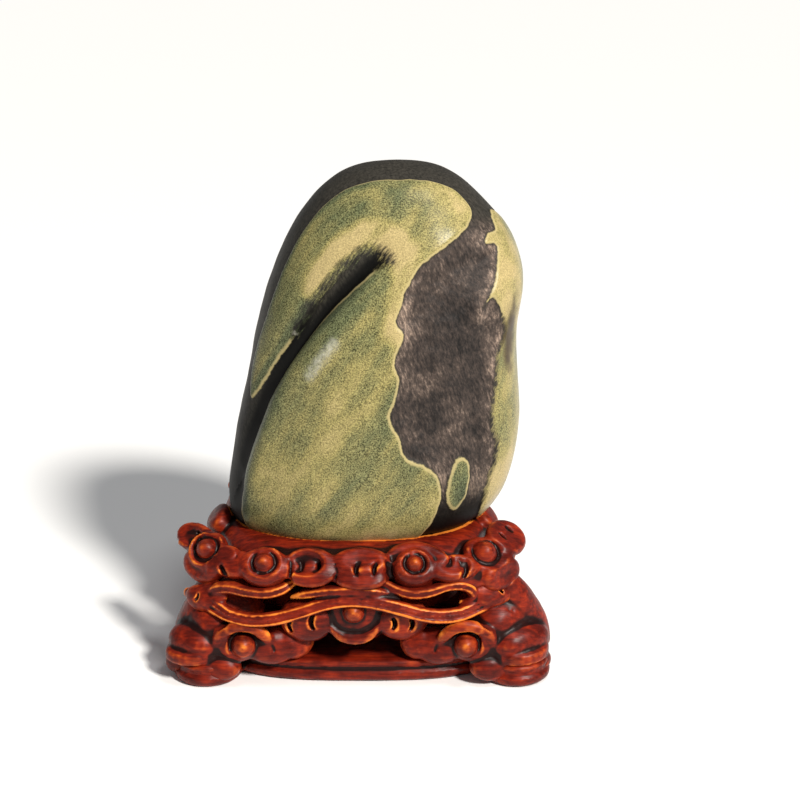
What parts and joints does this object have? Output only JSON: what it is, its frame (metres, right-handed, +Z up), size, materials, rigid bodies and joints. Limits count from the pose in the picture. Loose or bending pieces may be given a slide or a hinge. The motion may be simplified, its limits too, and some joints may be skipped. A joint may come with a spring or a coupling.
{
  "type": "scholars rock on a carved stand",
  "caption": "Upright river-worn stone with green markings on black, standing in the socket of a carved hardwood stand with cloud lobes, ribbons, pendants and flared legs.",
  "frame": {"origin": "on the surface it stands on, under the middle of the base board", "axes": "+Z up, front towards -Y, +X to the viewer's right"},
  "size_m": [0.262, 0.2204, 0.341],
  "materials": {
    "river_stone": "water-polished, waxed, olive green raised markings on near-black",
    "lacquered_wood": "red-brown stained and lacquered hardwood, worn orange along the carved edges"
  },
  "bodies": {
    "root": {"stone": "river_stone", "collar": "lacquered_wood", "ribbon_front": "lacquered_wood", "ribbon_back": "lacquered_wood", "pendant_front": "lacquered_wood", "pendant_right": "lacquered_wood", "pendant_back": "lacquered_wood", "pendant_left": "lacquered_wood", "leg_front_left": "lacquered_wood", "leg_front_right": "lacquered_wood", "leg_back_left": "lacquered_wood", "leg_back_right": "lacquered_wood", "base": "lacquered_wood"}
  },
  "joints": []
}
